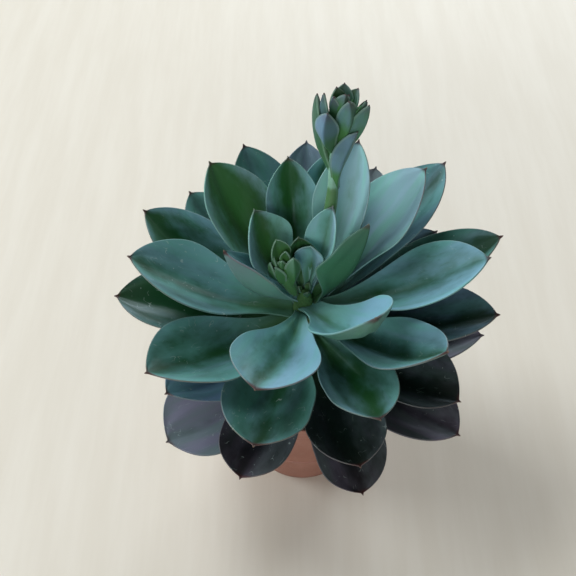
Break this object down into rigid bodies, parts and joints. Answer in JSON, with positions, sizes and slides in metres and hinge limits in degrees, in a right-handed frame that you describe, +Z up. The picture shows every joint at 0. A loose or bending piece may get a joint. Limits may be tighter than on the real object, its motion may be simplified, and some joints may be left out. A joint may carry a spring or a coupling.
{
  "type": "potted succulent",
  "caption": "Potted echeveria: a rosette of fleshy pointed leaves on a short stem, with a tall budding flower stalk and a young side shoot, in a small tapered nursery pot of soil.",
  "frame": {"origin": "middle of the pot's flat base, on the surface that it stands on", "axes": "+Z up the pot's axis and the rosette's stem, +Y away from the picture's viewer, +X to the viewer's right"},
  "size_m": [0.1887, 0.1667, 0.2226],
  "materials": {
    "pot": "terracotta-coloured moulded plastic, satin, with fine turned rings",
    "soil": "dark crumbly potting mix, matte",
    "stem": "short woody succulent stem, dull brown green with leaf scars",
    "leaf_low": "older fleshy leaf, dark purple grey with a worn waxy bloom and brown edges",
    "leaf_high": "fleshy leaf, deep green under a blue-grey waxy bloom, pinkish edges and a small pointed tip",
    "flower_stalk": "pale green stalk with blue-grey waxy bracts",
    "young_shoot": "yellow-green stalk with waxy bracts, pale at their edges"
  },
  "bodies": {
    "root": {"pot": "pot", "soil": "soil", "stem": "stem", "leaf_01": "leaf_low", "leaf_02": "leaf_low", "leaf_03": "leaf_low", "leaf_04": "leaf_low", "leaf_05": "leaf_low", "leaf_06": "leaf_low", "leaf_07": "leaf_low", "leaf_08": "leaf_low", "leaf_09": "leaf_low", "leaf_10": "leaf_low", "leaf_11": "leaf_low", "leaf_12": "leaf_low", "leaf_13": "leaf_low", "leaf_14": "leaf_low", "leaf_15": "leaf_low", "leaf_16": "leaf_low", "leaf_17": "leaf_low", "leaf_18": "leaf_high", "leaf_19": "leaf_high", "leaf_20": "leaf_high", "leaf_21": "leaf_high", "leaf_22": "leaf_high", "leaf_23": "leaf_high", "leaf_24": "leaf_high", "leaf_25": "leaf_high", "leaf_26": "leaf_high", "leaf_27": "leaf_high", "leaf_28": "leaf_high", "leaf_29": "leaf_high", "leaf_30": "leaf_high", "leaf_31": "leaf_high", "leaf_32": "leaf_high", "leaf_33": "leaf_high", "leaf_34": "leaf_high", "leaf_35": "leaf_high", "leaf_36": "leaf_high", "leaf_37": "leaf_high", "leaf_38": "leaf_high", "leaf_39": "leaf_high", "leaf_40": "leaf_high", "leaf_41": "leaf_high", "leaf_42": "leaf_high", "leaf_43": "leaf_high", "leaf_44": "leaf_high", "leaf_45": "leaf_high", "flower_stalk": "flower_stalk", "young_shoot": "young_shoot"}
  },
  "joints": []
}
